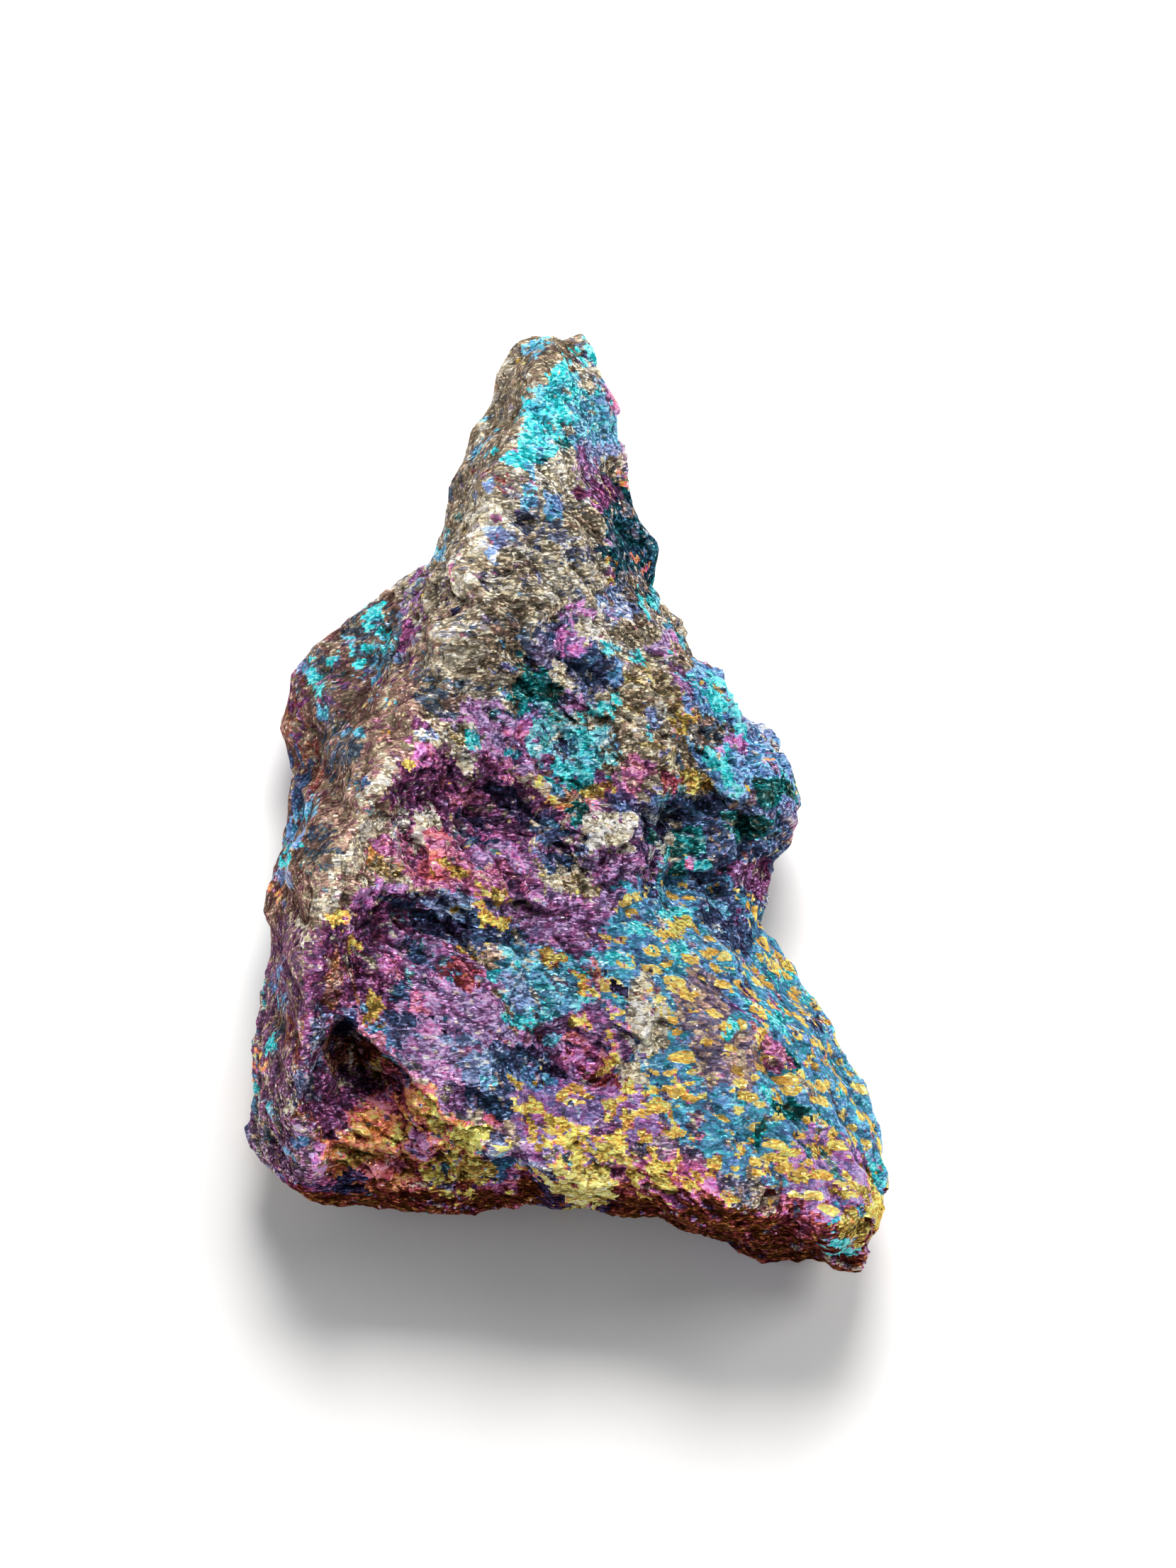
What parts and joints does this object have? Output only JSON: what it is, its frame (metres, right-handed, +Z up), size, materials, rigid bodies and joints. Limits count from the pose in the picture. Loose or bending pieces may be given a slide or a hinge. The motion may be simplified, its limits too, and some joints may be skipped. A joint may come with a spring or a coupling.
{
  "type": "chalcopyrite specimen",
  "caption": "Rough tapering lump of tarnished copper ore with an iridescent blue, purple and gold skin, ledges and pits, lying on its back.",
  "frame": {"origin": "on the surface it rests on, under the middle of the stone's box", "axes": "+Z up out of the stone's face, +Y to the narrow tip, +X to the side with the broad lower corner"},
  "size_m": [0.045, 0.0674, 0.0256],
  "materials": {
    "tarnished_ore": "rough fractured metallic ore with a thin tarnish film in blue, turquoise, purple, magenta and gold"
  },
  "bodies": {
    "root": {"chalcopyrite": "tarnished_ore"}
  },
  "joints": []
}
